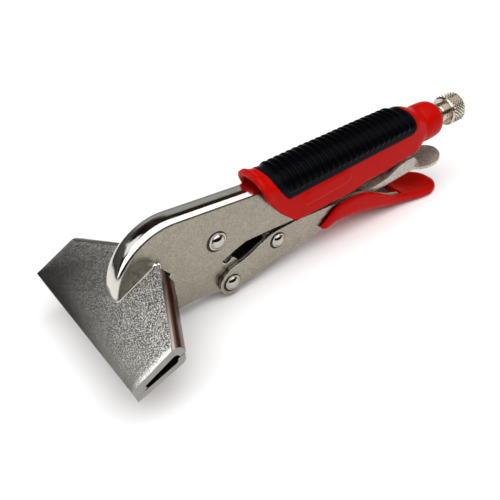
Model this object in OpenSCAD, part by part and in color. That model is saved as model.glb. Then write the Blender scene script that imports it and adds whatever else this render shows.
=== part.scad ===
// Hand seamer: locking sheet-metal pliers with 80 mm wide blades.
// Millimetres, +Z up, -X towards the blades, +X towards the adjusting knob.
// Every module is drawn about the main pivot and moved once by origin_shift.

/* [Blades] */
// width of both blades, across the tool
jaw_w = 80; // [60:1:100]
// straight length of the blade's short side edge, before the rear bend
side_len = 19.8; // [14:0.1:28]
// depth of the blade on the centre line, from the bite edge
throat = 37.0; // [34:0.1:46]
// thickness of the upper blade plate
plate_t = 3.0; // [2:0.1:4]
// thickness of the lower blade plate
low_plate_t = 2.4; // [2:0.1:4]
// depth of the gripping land behind the bite edge
land = 4.4; // [2:0.1:8]
// thickness of the rear flange of a blade
flange_t = 2.4; // [1.5:0.1:4]
// outside radius of the rear bend of a blade
bend_r = 3.0; // [1:0.1:4]
// slope of the upper blade's top face
up_tilt = 25.6; // [20:0.1:30]
// slope of the bite plane between the blades
bite_tilt = 21.6; // [18:0.1:26]
// slope of the lower blade's bottom face
low_tilt = 17.7; // [14:0.1:22]

/* [Upper body] */
// outside width of the pressed channel
body_w = 10.6; // [9:0.1:14]
// sheet thickness of the pressed channel
sheet = 1.9; // [1.2:0.1:2.6]
// outside radius of the hook's rounded back
hook_r = 27.3; // [24:0.1:30]
// length of the channel behind the main pivot
body_rear = 106; // [96:1:110]

/* [Lower jaw] */
// width of the lower jaw bar inside the channel
jaw_bar = 6.4; // [5:0.1:6.6]

/* [Handle and link] */
// sheet thickness of the lower handle
handle_sheet = 1.9; // [1.2:0.1:2.4]
// width of the toggle link
link_w = 6.0; // [4:0.1:6.4]
// radius of the link's round rear end
link_end_r = 3.2; // [2:0.1:4]
// width of the lever channel
lever_w = 6.4; // [5:0.1:6.6]
// sheet thickness of the lever
lever_sheet = 1.4; // [1:0.1:2]
// width of the lever's paddle
paddle_w = 16; // [10:0.5:20]

/* [Rivets] */
// shank radius of the main pivot rivet
r_main = 3.5; // [2.5:0.1:4]
// head radius of the main pivot rivet
head_main = 4.5; // [4:0.1:6]
// shank radius of the jaw and link rivets
r_small = 2.6; // [2:0.1:3]
// head radius of the jaw and link rivets
head_small = 3.5; // [3:0.1:5]
// shank radius of the release lever rivet
r_lever = 1.8; // [1.2:0.1:2.4]
// running clearance between a shank and its bore, on the radius
run = 0.05; // [0.01:0.01:0.1]

/* [Adjusting screw] */
// outside radius of the threaded shank
screw_r = 2.9; // [2.4:0.1:3.2]
// position of the screw's tip behind the main pivot
screw_tip = 86.9; // [85:0.1:92]
// radius of the knurled knob
knob_r = 7.5; // [6:0.1:9]
// length of the knurled knob
knob_len = 8.6; // [6:0.1:12]
// number of knurl flutes each way
knurl_n = 30; // [20:1:40]

/* [Grips] */
// half of the width of the upper grip
grip_hw = 9.5; // [8:0.1:12]
// half of the width of the lower grip
low_grip_hw = 8.0; // [7:0.1:10]
// radius of the lower grip's round tail, seen from above
tail_r = 10.2; // [8.5:0.1:12]
// number of ribs across the inlay
rib_n = 22; // [10:1:30]
// distance from rib to rib
rib_pitch = 3.25; // [2.5:0.05:4]

/* [Spring] */
// mean radius of the spring's coils
coil_r = 2.0; // [1.5:0.1:2.3]
// wire radius of the spring
wire_r = 0.45; // [0.3:0.05:0.6]
// number of coils
coils = 24; // [10:1:30]

/* [Hidden] */
$fn = 64;
eps = 0.01;
origin_shift = [-41.95, 0, 32.9];
half_w = jaw_w / 2;
axis_z = 4.35;                 // height of the adjusting screw's axis
p2 = [5.2, -25.1];             // jaw to handle rivet
p3 = [30.1, -15.3];            // handle to link rivet
p4 = [82, 4.35];               // centre of the link's rear end
p5 = [76, -17.1];              // release lever rivet
s1 = [5.4, -14.55];            // spring's hook in the jaw's notch
s2 = [45, 7.4];                // spring anchor pin
hook_c = [-20, -8.1];          // centre of the hook's round back
line_a = 7;                    // slope of the body behind the hook
tan_p = [hook_c[0] + hook_r * sin(line_a), hook_c[1] + hook_r * cos(line_a)];
up_edge = [-61, -12.5];        // bite edge of the upper blade's top face
bite_pt = [-60.05, -16.68];    // front end of the bite plane
low_edge = [-59.49, -19.14];   // front end of the lower blade's bottom face
taper = 27.93;                 // angle of the blade's back edges
back_w = side_len + bend_r * 0.92; // where the back edge meets the side edge
knob_x = 136;
steel = [0.66, 0.64, 0.58];
red = [0.78, 0.06, 0.04];
black = [0.03, 0.04, 0.06];

// ---- helpers -------------------------------------------------------------

// a side view outline, given in x and z, made w thick about the middle plane
module side(w) { rotate([90, 0, 0]) linear_extrude(height = w, center = true) children(); }
// a cross-section, given in y and z, drawn from x0 to x1
module along(x0, x1) { translate([x0, 0, 0]) rotate([90, 0, 90]) linear_extrude(height = x1 - x0) children(); }
// a round bar across the tool at a point of the side view
module pin(p, r, w) { translate([p[0], 0, p[1]]) rotate([90, 0, 0]) cylinder(r = r, h = w, center = true); }
// a cross-section with a round top: half width hw, corner radius c, top at t
module arch(hw, c, t, b) {
  translate([-hw, b]) square([2 * hw, t - c - b]);
  translate([-hw + c, b]) square([2 * (hw - c), t - b]);
  for (s = [-1, 1]) translate([s * (hw - c), t - c]) circle(r = c);
}
// a flat domed rivet: shank half length l, two heads
module rivet(p, r, l, hr, hh) {
  sr = (hr * hr + hh * hh) / (2 * hh);
  translate([p[0], 0, p[1]]) {
    rotate([90, 0, 0]) cylinder(r = r, h = 2 * l + 0.2, center = true);
    for (s = [0, 180]) rotate([0, 0, s]) rotate([-90, 0, 0]) translate([0, 0, l])
      rotate_extrude() intersection() {
        translate([0, hh + 0.25 - sr]) circle(r = sr, $fn = 128);
        square([hr, hh + 1]);
      }
  }
}

// ---- upper body ----------------------------------------------------------

// height of the upper blade's top face, where the channel stands on it
function up_z(x) = up_edge[1] + (x - up_edge[0]) * tan(up_tilt) + 0.02;
// the channel's section, its round top drawn in short flats
function round_top(hw, t, n) = [for (i = [0 : n]) [-hw * cos(i * 180 / n), t - hw + hw * sin(i * 180 / n)]];
module channel_section(hw, t, b) polygon(concat([[-hw, b]], round_top(hw, t, 13), [[hw, b]]));
// the channel in three lengths, shrunk by d: round hook, sloping, level
module hook_env(d) {
  c = body_w / 2 - d;
  r = hook_r - d - c;
  translate([hook_c[0], 0, hook_c[1]]) rotate([90, 0, 0]) rotate_extrude($fn = 96)
    polygon(concat([[0, -c]], [for (i = [0 : 13]) [r + c * sin(i * 180 / 13), -c * cos(i * 180 / 13)]], [[0, c]]));
}
module slope_env(d) translate([tan_p[0], 0, tan_p[1]]) rotate([0, line_a, 0]) along(-2, 42) channel_section(body_w / 2 - d, -d, -60);
module level_env(d) along(19, 130) channel_section(body_w / 2 - d, 14.45 - d, -30);
module hook_zone() translate([hook_c[0], 0, hook_c[1]]) rotate([0, line_a, 0]) translate([-60, -20, -60]) cube([60, 40, 120]);
module slope_zone() difference() {
  translate([-60, -20, -60]) cube([79.5, 40, 120]);
  hook_zone();
}
module level_zone() translate([19.5, -20, -60]) cube([120, 40, 120]);

module body_outline() polygon([[-48.6, up_z(-48.6)], [-27.3, up_z(-27.3)], [-25.0, -1.1], [-23.9, -2.6], [-20.9, -5.9],
  [-17.1, -11.1], [-15, -12.9], [-12.7, -14], [-10.2, -14.7], [-7.9, -14.8], [-4.3, -13.6],
  [0.9, -11.6], [5.1, -9.9], [10.3, -8.2], [13.9, -7.3], [20.7, -7.6], [27, -8], [34, -8.6], [39.5, -9],
  [42, -8], [45, -5.4], [body_rear, -2.4], [body_rear, 11.4], [98, 14.6], [60, 20], [-10, 24], [-40, 24], [-60, 10]]);

module upper_body() color(steel) difference() {
  intersection() {
    side(body_w) body_outline();
    union() {
      intersection() { hook_env(-0.03); hook_zone(); }
      intersection() { slope_env(-0.03); slope_zone(); }
      intersection() { level_env(-0.03); level_zone(); }
    }
  }
  intersection() { hook_env(sheet); translate([-60, -20, -60]) cube([43, 40, 120]); }
  slope_env(sheet + 0.02);
  level_env(sheet - 0.02);
  pin([0, 0], r_main + run, 20);
  pin(s2, 1.5 + run, 20);
}

// ---- blades --------------------------------------------------------------

// in a blade's own plane: x is depth, y is across, the outer face at z = 0
// the tapered plan of a blade, its back edges inset by d and rounded by r
module blade_plan(d, r, x0, hw, x1) {
  off = (back_w + half_w * tan(taper)) * cos(taper) - d;
  intersection() {
    translate([x0, -hw, -30]) cube([x1 - x0, 2 * hw, 30]);
    taper_side(1, off, r);
    taper_side(-1, off, r);
  }
}
module taper_side(s, off, r) {
  rotate([0, 0, s * (taper)]) rotate([90, 0, 0]) linear_extrude(height = 240, center = true) union() {
    translate([-150, -40]) square([150 + off - r, 40]);
    translate([-150, -40]) square([150 + off, 40 - r]);
    translate([off - r, -r]) circle(r = r);
  }
}

module up_place() { translate([up_edge[0], 0, up_edge[1]]) rotate([0, -up_tilt, 0]) children(); }
module low_place() { translate([low_edge[0], 0, low_edge[1]]) rotate([0, -low_tilt, 0]) mirror([0, 0, 1]) children(); }

// region above the bite plane and above the upper flange's lower edge
module above_bite() side(jaw_w + 20) polygon([
  [bite_pt[0], bite_pt[1] + 0.06], [-41.5, bite_pt[1] + 18.55 * tan(bite_tilt) + 0.06],
  [-25, -1.3], [-10, 5], [-10, 40], [-60.95 - 12 * 0.2273, 40], [up_edge[0], up_edge[1]]]);
module below_bite() side(jaw_w + 20) polygon([
  [bite_pt[0] + 0.027, bite_pt[1] - 0.06], [-41.5, bite_pt[1] + 18.55 * tan(bite_tilt) - 0.06],
  [-25, -3.9], [-10, 1], [-10, -50], [low_edge[0] + 0.01, -50], [low_edge[0], low_edge[1]]]);

module upper_blade() color(steel) difference() {
  intersection() {
    up_place() blade_plan(0, bend_r, -3, half_w, throat);
    above_bite();
  }
  intersection() {
    up_place() translate([0, 0, -plate_t]) blade_plan(flange_t, bend_r - 1.4, land, half_w + 5, throat - flange_t);
    side(jaw_w + 20) polygon([[-60, -30], [-10, -30], [-10, 40], [-60, 40]]);
  }
}

module lower_blade() color(steel) difference() {
  intersection() {
    low_place() blade_plan(0, bend_r - 0.5, -3, half_w, throat - 1.4);
    below_bite();
  }
  intersection() {
    low_place() translate([0, 0, -low_plate_t]) blade_plan(flange_t, bend_r - 1.6, land, half_w + 5, throat - 1.4 - flange_t);
    side(jaw_w + 20) polygon([[-60, -30], [-10, -30], [-10, 40], [-60, 40]]);
  }
}

// fillet welds along the foot of the channel's two walls
module upper_weld_beads() color(steel)
  up_place() for (s = [-1, 1])
    translate([22, s * (body_w / 2), 0]) rotate([0, 0, 0]) intersection() {
      rotate([90, 0, 90]) linear_extrude(height = 15) polygon([[0, 0], [s * 0.9, 0], [s * 0.66, 0.27], [s * 0.27, 0.66], [0, 0.9]]);
      translate([0, -3, -1]) cube([15, 6, 4]);
    }

module lower_weld_beads() color(steel)
  low_place() for (s = [-1, 1])
    translate([17, s * (jaw_bar / 2), 0])
      rotate([90, 0, 90]) linear_extrude(height = 16) polygon([[0, 0], [s * 0.9, 0], [s * 0.66, 0.27], [s * 0.27, 0.66], [0, 0.9]]);

// ---- lower jaw -----------------------------------------------------------

module jaw_outline() polygon([[-46, low_edge[1] + (-46 - low_edge[0]) * tan(low_tilt)],
    [-22, low_edge[1] + (-22 - low_edge[0]) * tan(low_tilt)], [-20.5, -3.5], [-14, 2.5], [-6.5, 4.66],
    [-2, 2], [5, -6.2449], [2.4, -12.6], [2.6, -13.9], [3.6, -15.2], [5, -15.8], [6.3, -15.3], [7.7, -13.8], [10.1, -16.2], [10.2, -20], [10.3, -24.1],
    [6, -29], [1.5, -29.2], [-0.5, -28.8], [-5.5, -27.4], [-10.5, -26.7], [-22.8, -26.4],
    [-30, -25.3], [-36.5, -22.8], [-41.5, -19.8], [-45, -16.8]]);

module lower_jaw_body() color(steel) difference() {
  union() {
    side(jaw_bar) jaw_outline();
    pin([0, 0], 8, jaw_bar);
    pin(p2, 5.2, jaw_bar);
  }
  pin([0, 0], r_main + run, 20);
  pin(p2, r_small + run, 20);
}

// ---- lower handle --------------------------------------------------------

module handle_outline() polygon([[3, -20], [4.6, -17.9], [7.5, -17.3], [12.2, -16.4], [17.6, -14.4], [21.5, -12.7], [25.8, -10.9], [29.7, -10.2],
    [40.1, -10.0], [59.6, -11.8], [63.2, -12.5], [70, -13.2], [78.4, -14.0], [89.8, -19.2], [97.3, -23.4], [104, -25.6],
    [104, -29], [97, -27.6], [83, -23.8], [70, -20.9], [60, -20.4], [54.4, -21.4], [47.9, -22.6],
    [39.8, -23.9], [30.6, -25.3], [22.2, -26.9], [14, -28.5], [11.6, -29.0], [10.6, -28.2], [9.2, -28.6], [5.2, -29]]);
module handle_inside() polygon([[-10, 0], [-10, -50], [12.4, -50], [12.4, -26.9], [14.4, -26.5], [22.5, -25.0], [30.9, -23.4], [40.1, -22.0],
    [48.2, -20.7], [54.7, -19.5], [60.1, -18.5], [69.8, -19.0], [82.5, -21.9], [96.5, -25.7], [110, -28.4], [110, 0]]);

module lower_handle() color(steel) difference() {
  union() {
    side(2 * (jaw_bar / 2 + 0.25 + handle_sheet)) handle_outline();
    pin(p2, 6, 2 * (jaw_bar / 2 + 0.25 + handle_sheet));
  }
  side(2 * (jaw_bar / 2 + 0.25)) handle_inside();
  pin(p2, r_small + run, 20);
  pin(p3, r_small + run, 20);
  pin(p5, r_lever + run, 20);
}

// ---- toggle link ---------------------------------------------------------

module toggle_link() color(steel) difference() {
  union() {
    pin(p3, 4.8, link_w);
    pin(p4, link_end_r, link_w);
    side(link_w) polygon([[28.4, -10.8], [44, -5.2], [60, 1.2], [81, 7.3], [82.9, 1.4], [66, -4.4], [50, -11], [31.8, -19.5]]);
  }
  pin(p3, r_small + run, 20);
}

// ---- release lever -------------------------------------------------------

module lever_side() {
  polygon([[56.4, -12.0], [56.9, -9.9], [58.6, -9.3], [60.8, -10.0], [66, -13.0], [72, -13.9], [78, -14.6], [83.3, -16.2], [91.6, -15.9],
    [98, -15.1], [102.2, -13.2], [106, -11.6], [111, -10.9], [114.8, -10.9], [117.6, -13.6], [119.5, -16.4], [119.5, -18.0],
    [112.7, -18.0], [103.2, -18.6], [94, -19.0], [86, -18.4], [80, -19.5], [76, -19.95], [72, -19.0], [67.5, -17.6], [62, -14.4]]);
}

module release_lever() color(steel) {
  difference() {
    side(lever_w) lever_side();
    side(lever_w - 2 * lever_sheet) polygon([[50, -40], [84, -40], [84, -17.2], [86, -17.0], [94, -17.6], [103, -17.2],
      [112.7, -16.6], [130, -16.6], [130, 0], [50, 0]]);
    pin(p5, r_lever + run, 20);
  }
  difference() {
    intersection() {
      union() {
        translate([0, 0, -25]) linear_extrude(height = 16) {
          translate([125, 0]) circle(r = paddle_w / 2);
          polygon([[112.7, -lever_w / 2], [115.4, -lever_w / 2], [118.2, -paddle_w / 2 + 2.8], [121, -paddle_w / 2 + 0.9], [125, -paddle_w / 2 + 0.01],
            [125, paddle_w / 2 - 0.01], [121, paddle_w / 2 - 0.9], [118.2, paddle_w / 2 - 2.8], [115.4, lever_w / 2], [112.7, lever_w / 2]]);
        }
      }
      side(paddle_w + 4) polygon([[112.7, -18.0], [112.7, -16.6], [118, -16.9], [126, -15.5], [135, -13.7], [135, -15.12], [126, -16.92], [118, -18.32]]);
    }
  }
}

// ---- rivets and pins -----------------------------------------------------

module main_pivot_rivet() color(steel) rivet([0, 0], r_main, body_w / 2 + 0.02, head_main, 2.2);
module jaw_handle_rivet() color(steel) rivet(p2, r_small, jaw_bar / 2 + 0.27 + handle_sheet, head_small, 1.8);
module link_rivet() color(steel) rivet(p3, r_small, jaw_bar / 2 + 0.27 + handle_sheet, head_small, 1.8);
module release_lever_rivet() color(steel) rivet(p5, r_lever, jaw_bar / 2 + 0.27 + handle_sheet, 2.8, 0.5);
module spring_anchor_pin() color(steel) pin(s2, 1.5, body_w - 0.6);

// ---- adjusting screw -----------------------------------------------------

module at_screw() { translate([0, 0, axis_z]) rotate([0, 90, 0]) children(); }

module adjusting_screw() color(steel) at_screw() {
  translate([0, 0, screw_tip]) cylinder(r1 = 2.1, r2 = screw_r - 0.3, h = 1.2);
  translate([0, 0, screw_tip + 1.2 - eps]) cylinder(r = screw_r - 0.3, h = knob_x - 3 - screw_tip - 1.2 + 8);
  for (i = [0 : 33]) translate([0, 0, screw_tip + 1.6 + i * 1.25]) {
    cylinder(r1 = screw_r - 0.32, r2 = screw_r, h = 0.5);
    translate([0, 0, 0.5 - eps]) cylinder(r1 = screw_r, r2 = screw_r - 0.32, h = 0.5);
  }
}

module adjusting_knob() color(steel) at_screw() difference() {
  union() {
    translate([0, 0, knob_x - 4.4]) cylinder(r = 4.7, h = 4.4 + 0.5);
    translate([0, 0, knob_x]) rotate_extrude() polygon([[0, 0], [knob_r - 0.9, 0], [knob_r, 0.9], [knob_r, knob_len - 1.4],
      [knob_r - 1.3, knob_len - 0.3], [knob_r - 2.6, knob_len], [0, knob_len + 0.3]]);
  }
  translate([0, 0, knob_x - 5]) cylinder(r = screw_r - 0.3 + run, h = 10.2 + run);
  for (i = [0 : knurl_n - 1]) rotate([0, 0, i * 360 / knurl_n]) translate([knob_r + 0.12, 0, knob_x - 1]) cylinder(r = 0.42, h = knob_len + 2, $fn = 16);
  for (i = [0 : 3]) translate([0, 0, knob_x + 1.7 + i * 1.6]) rotate_extrude() polygon([[knob_r - 0.35, 0], [knob_r + 0.2, -0.4], [knob_r + 0.2, 0.4]]);
  translate([0, 0, knob_x - 2.2]) rotate([90, 0, 0]) cylinder(r = 0.9 + run, h = 20, center = true);
}

module knob_pin() color(steel) at_screw() for (s = [-1, 1])
  translate([0, s * 3.7, knob_x - 2.2]) rotate([90, 0, 0]) cylinder(r = 0.9, h = 1.9, center = true);

module threaded_bush() color(steel) difference() {
  union() {
    at_screw() translate([0, 0, body_rear]) cylinder(r = 6.3, h = 22);
    along(body_rear - 9, body_rear + 1) translate([-3.35, axis_z - 5.4]) square([6.7, 10.8]);
  }
  at_screw() cylinder(r = screw_r + run, h = 200);
}

// ---- grips ---------------------------------------------------------------

module upper_grip_outline() polygon([[20.3, 18.6], [21.4, 19.4], [29.8, 17.5], [49.9, 17.3], [66.6, 16.8], [84.2, 16.7], [109.1, 15.7],
  [114.5, 14.4], [117.2, 13.7], [121.2, 13.5], [125.3, 12.5], [128.4, 10.9], [129.9, 8.6], [130.3, 4.3], [129.9, 0.2], [128.2, -2.6], [125.3, -3.8],
  [115.7, -3.4], [111.2, -3.3], [104.6, -3.4], [98.3, -4.0], [88.9, -5.2], [79.6, -5.2], [74.7, -5.7], [72.4, -6.9],
  [56, -6.7], [40.6, -7], [39, -6.4], [34.7, -3.5], [30.1, 1.5], [26.6, 6.2], [23.8, 11]]);

module grip_section(d) { arch(grip_hw - d, 7 - d, 17.3 - d, -12); }

module upper_grip_solid(d) {
  intersection() {
    side(2 * grip_hw) upper_grip_outline();
    union() {
      along(27.5, 108) grip_section(d);
      translate([20, 0, 19.6]) rotate([0, 13, 0]) along(-2, 12) arch(grip_hw - d, 7 - d, -d, -40);
      along(108 - eps, 118) arch(9.1 - d, 6.8 - d, 16 - d, -12);
      at_screw() rotate_extrude() translate([0, 110]) intersection() {
        union() { square([9.1 - d, 16.5]); translate([5.1 - d, 16.4]) circle(r = 4); square([5.1 - d, 20.4]); }
        square([20, 20.3]);
      }
    }
  }
}
module inlay_outline() polygon([[22.6, 20], [24.4, 15.4], [27.6, 11.4], [31.2, 8.2], [33.6, 6.6], [36, 6.3], [104.6, 7.9], [107, 9], [108.3, 11], [108.4, 13.4], [108.4, 20]]);

module upper_grip() color(red) difference() {
  upper_grip_solid(0);
  side(30) intersection() { inlay_outline(); translate([28, 0]) square([90, 30]); }
  // room for the channel and the bush
  along(5, body_rear + 0.3) arch(body_w / 2 + 0.15, body_w / 2 - 0.1, 14.65, -20);
  translate([tan_p[0], 0, tan_p[1]]) rotate([0, line_a, 0]) along(30, 44) arch(body_w / 2 + 0.25, body_w / 2 - 0.05, 0.2, -50);
  at_screw() translate([0, 0, body_rear - 0.4]) cylinder(r = 6.6, h = 22.8);
  at_screw() translate([0, 0, 120]) cylinder(r = 5.2, h = 30);
  // the hollow rim between the skirt and the channel
  side(2 * (grip_hw - 1.6)) polygon([[10, -12], [10, 13.9], [21.2, 13.9], [32.5, -1.2], [42, -4.6], [70, -4.6], [72, -12]]);
}

module inlay_body(d) intersection() {
  side(30) intersection() { inlay_outline(); translate([28, 0]) square([90, 30]); }
  along(20, 108.4) difference() { arch(grip_hw + 0.35 - d, 7, 17.6 - d, -12); arch(body_w / 2 + 0.3, body_w / 2 + 0.3, 14.75, -13); }
}
module upper_grip_inlay() color(black) {
  inlay_body(0.9);
  intersection() {
    inlay_body(0);
    union() {
      for (i = [0 : rib_n - 1]) translate([33.5 + i * rib_pitch, 0, 0]) rotate([0, -9, 0]) translate([0, 0, 10]) cube([1.75, 30, 30], center = true);
      side(30) polygon([[28, 4], [110, 5.2], [110, 9.7], [28, 8.4]]);
    }
  }
}

module low_grip_outline() polygon([[53.4, -20.0], [54.6, -21.6], [56.6, -22.4], [61.8, -22.0], [70.6, -22.9], [83.4, -25.8], [96.8, -29.5],
  [110.8, -32.1], [121.5, -32.9], [127.5, -32.9], [130.2, -32.2], [131.2, -31.0], [130.4, -30.2], [128, -29.8], [122, -28.9], [116, -28.0], [110, -27.0], [104.6, -25.8], [100.5, -24.4],
  [97.3, -22.7], [89.8, -18.1], [84, -14.8], [78.4, -12.8], [70.2, -12.2], [64.1, -12.6], [60, -15]]);

module lower_grip() color(red) difference() {
  intersection() {
    side(2 * tail_r) low_grip_outline();
    union() {
      along(50, 112) mirror([0, 1]) arch(low_grip_hw, 4, 33.6, 10);
      translate([0, 0, -40]) linear_extrude(height = 30) { translate([121, 0]) circle(r = tail_r); polygon([[100, -low_grip_hw], [107, -low_grip_hw], [113, -9], [117, -9.6], [121, -tail_r + 0.01], [121, tail_r - 0.01], [117, 9.6], [113, 9], [107, low_grip_hw], [100, low_grip_hw]]); }
    }
  }
  // the handle's room
  side(2 * (jaw_bar / 2 + 0.35 + handle_sheet)) polygon([[40, 0], [40, -24.0], [47.9, -22.7], [54.4, -21.5], [60, -20.5], [70, -21.0],
    [83, -23.9], [97, -27.7], [104.2, -29.1], [105.2, -27.9], [105.2, 0]]);
  pin(p5, 3.1, 14);
}

// ---- tension spring ------------------------------------------------------

spring_len = sqrt((s2[0] - s1[0]) * (s2[0] - s1[0]) + (s2[1] - s1[1]) * (s2[1] - s1[1]));
spring_ang = atan2(s2[1] - s1[1], s2[0] - s1[0]);
coil_pitch = 0.84;
coil_0 = 12.5;

// drawn standing along x from the jaw's notch, then turned up to the anchor
module tension_spring() color(steel) translate([s1[0], 0, s1[1]]) rotate([0, -spring_ang, 0]) {
  rotate([90, 0, 0]) cylinder(r = wire_r, h = 3.6, center = true);
  translate([0, 0, 0]) rotate([0, 90, 0]) cylinder(r = wire_r, h = coil_0 + 0.2);
  translate([coil_0, 0, 0]) rotate([0, 90, 0]) {
    rotate_extrude() translate([0, -wire_r]) square([coil_r, 2 * wire_r]);
    rotate_extrude() for (i = [0 : coils]) translate([coil_r, i * coil_pitch]) circle(r = wire_r, $fn = 16);
    translate([0, 0, coils * coil_pitch]) rotate_extrude() translate([0, -wire_r]) square([coil_r, 2 * wire_r]);
    translate([0, 0, coils * coil_pitch]) cylinder(r = wire_r, h = spring_len - coil_0 - coils * coil_pitch - 2.35);
  }
  translate([spring_len, 0, 0]) rotate([90, 0, 0]) rotate_extrude() translate([2.35, 0]) circle(r = wire_r, $fn = 24);
}

// ---- assembly ------------------------------------------------------------

translate(origin_shift) {
  upper_body();
  upper_blade();
  upper_weld_beads();
  main_pivot_rivet();
  spring_anchor_pin();
  threaded_bush();
  upper_grip();
  upper_grip_inlay();
  tension_spring();
  lower_jaw_body();
  lower_blade();
  lower_weld_beads();
  lower_handle();
  lower_grip();
  jaw_handle_rivet();
  link_rivet();
  release_lever_rivet();
  toggle_link();
  release_lever();
  adjusting_screw();
  adjusting_knob();
  knob_pin();
}
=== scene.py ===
import math

import bmesh
import bpy
import numpy as np
from mathutils import Matrix, Vector

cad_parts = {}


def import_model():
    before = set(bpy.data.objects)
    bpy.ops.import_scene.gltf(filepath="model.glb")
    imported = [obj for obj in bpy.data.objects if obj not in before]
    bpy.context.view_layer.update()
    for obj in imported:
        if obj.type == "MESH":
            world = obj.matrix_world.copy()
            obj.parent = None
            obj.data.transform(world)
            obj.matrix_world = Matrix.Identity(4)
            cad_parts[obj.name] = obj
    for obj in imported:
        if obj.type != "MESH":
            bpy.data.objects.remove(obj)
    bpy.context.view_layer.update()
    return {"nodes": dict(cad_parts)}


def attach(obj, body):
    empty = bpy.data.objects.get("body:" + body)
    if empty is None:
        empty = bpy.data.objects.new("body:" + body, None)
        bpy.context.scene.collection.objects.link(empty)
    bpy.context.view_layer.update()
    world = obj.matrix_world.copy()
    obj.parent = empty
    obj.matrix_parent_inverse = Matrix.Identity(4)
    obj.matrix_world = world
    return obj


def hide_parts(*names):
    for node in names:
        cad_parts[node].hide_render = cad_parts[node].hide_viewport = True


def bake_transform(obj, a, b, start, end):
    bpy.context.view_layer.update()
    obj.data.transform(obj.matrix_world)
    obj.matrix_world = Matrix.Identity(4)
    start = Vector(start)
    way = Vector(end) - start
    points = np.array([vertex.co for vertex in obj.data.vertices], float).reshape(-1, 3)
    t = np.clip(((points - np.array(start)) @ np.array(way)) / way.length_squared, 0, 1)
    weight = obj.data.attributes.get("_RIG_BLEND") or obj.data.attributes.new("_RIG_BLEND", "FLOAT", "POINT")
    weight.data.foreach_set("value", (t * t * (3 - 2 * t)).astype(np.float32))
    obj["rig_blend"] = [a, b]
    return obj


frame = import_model()

# The part's drawing has its origin on the main pivot, in millimetres: x back, y across, z up.
DX, DZ = -41.95, 32.9


def row(p):
    return Vector(((p[0] + DX) / 1000, p[1] / 1000, (p[2] + DZ) / 1000))


def mesh_obj(name, verts, faces, smooth=40.0):
    me = bpy.data.meshes.new(name)
    me.from_pydata([row(v) for v in verts], [], [tuple(f) for f in faces])
    bm = bmesh.new()
    bm.from_mesh(me)
    bmesh.ops.remove_doubles(bm, verts=bm.verts, dist=2e-6)
    bmesh.ops.recalc_face_normals(bm, faces=bm.faces)
    bm.to_mesh(me)
    bm.free()
    ob = bpy.data.objects.new(name, me)
    bpy.context.scene.collection.objects.link(ob)
    shade(ob, smooth)
    return ob


def shade(ob, angle):
    me = ob.data
    bm = bmesh.new()
    bm.from_mesh(me)
    lim = math.radians(angle)
    for f in bm.faces:
        f.smooth = True
    for e in bm.edges:
        e.smooth = not (len(e.link_faces) != 2 or e.calc_face_angle(0.0) > lim)
    bm.to_mesh(me)
    bm.free()


def bevel(ob, width, segments=3, angle=30.0, material=-1):
    m = ob.modifiers.new("bevel", "BEVEL")
    m.width = width / 1000
    m.segments = segments
    m.limit_method = "ANGLE"
    m.angle_limit = math.radians(angle)
    m.harden_normals = False
    m.miter_outer = "MITER_ARC"
    m.use_clamp_overlap = True
    m.material = material
    return m


def apply_mods(ob):
    dg = bpy.context.evaluated_depsgraph_get()
    me = bpy.data.meshes.new_from_object(ob.evaluated_get(dg))
    ob.modifiers.clear()
    old = ob.data
    ob.data = me
    bpy.data.meshes.remove(old)


def rebuild(name, node, width, segments=3, angle=30.0, dissolve=0.25, smooth=35.0):
    """A cleaned copy of a CAD node's mesh with softened edges."""
    src = frame["nodes"][node]
    me = src.data.copy()
    me.name = name
    bm = bmesh.new()
    bm.from_mesh(me)
    bm.transform(src.matrix_world)
    bmesh.ops.remove_doubles(bm, verts=bm.verts, dist=4e-6)
    bmesh.ops.dissolve_limit(bm, angle_limit=math.radians(dissolve), verts=bm.verts, edges=bm.edges)
    bmesh.ops.recalc_face_normals(bm, faces=bm.faces)
    bm.to_mesh(me)
    bm.free()
    me.materials.clear()
    for att in list(me.attributes):
        if att.name in ("custom_normal", "sharp_face"):
            me.attributes.remove(att)
    ob = bpy.data.objects.new(name, me)
    bpy.context.scene.collection.objects.link(ob)
    if width:
        for _ in range(2):
            me.materials.append(None)
        bevel(ob, width, segments, angle, 1)
        apply_mods(ob)
    shade(ob, smooth)
    return ob


def grid_faces(nu, nv, base=0, wrap=False, skip=None):
    out = []
    for i in range(nu - 1):
        for j in range(nv if wrap else nv - 1):
            if skip and skip(i, j):
                continue
            a = base + i * nv + j
            b = base + i * nv + (j + 1) % nv
            out.append((a, b, b + nv, a + nv))
    return out


def lathe(name, profile, origin, axis, n=72, smooth=35.0):
    """A turned piece: profile is (along, radius) in mm, origin in mm, axis a unit vector."""
    ax = Vector(axis).normalized()
    u = ax.orthogonal().normalized()
    w = ax.cross(u)
    verts, faces = [], []
    for a, r in profile:
        for k in range(n):
            t = 2 * math.pi * k / n
            p = Vector(origin) + ax * a + (u * math.cos(t) + w * math.sin(t)) * r
            verts.append(tuple(p))
    faces = grid_faces(len(profile), n, wrap=True)
    faces.append(tuple(range(n))[::-1])
    faces.append(tuple((len(profile) - 1) * n + k for k in range(n)))
    return mesh_obj(name, verts, faces, smooth)


def join(obs, name):
    bm = bmesh.new()
    for o in obs:
        bm.from_mesh(o.data)
    me = bpy.data.meshes.new(name)
    bm.to_mesh(me)
    bm.free()
    for o in obs:
        bpy.data.objects.remove(o)
    ob = bpy.data.objects.new(name, me)
    bpy.context.scene.collection.objects.link(ob)
    return ob


# ---- materials -------------------------------------------------------------

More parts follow.
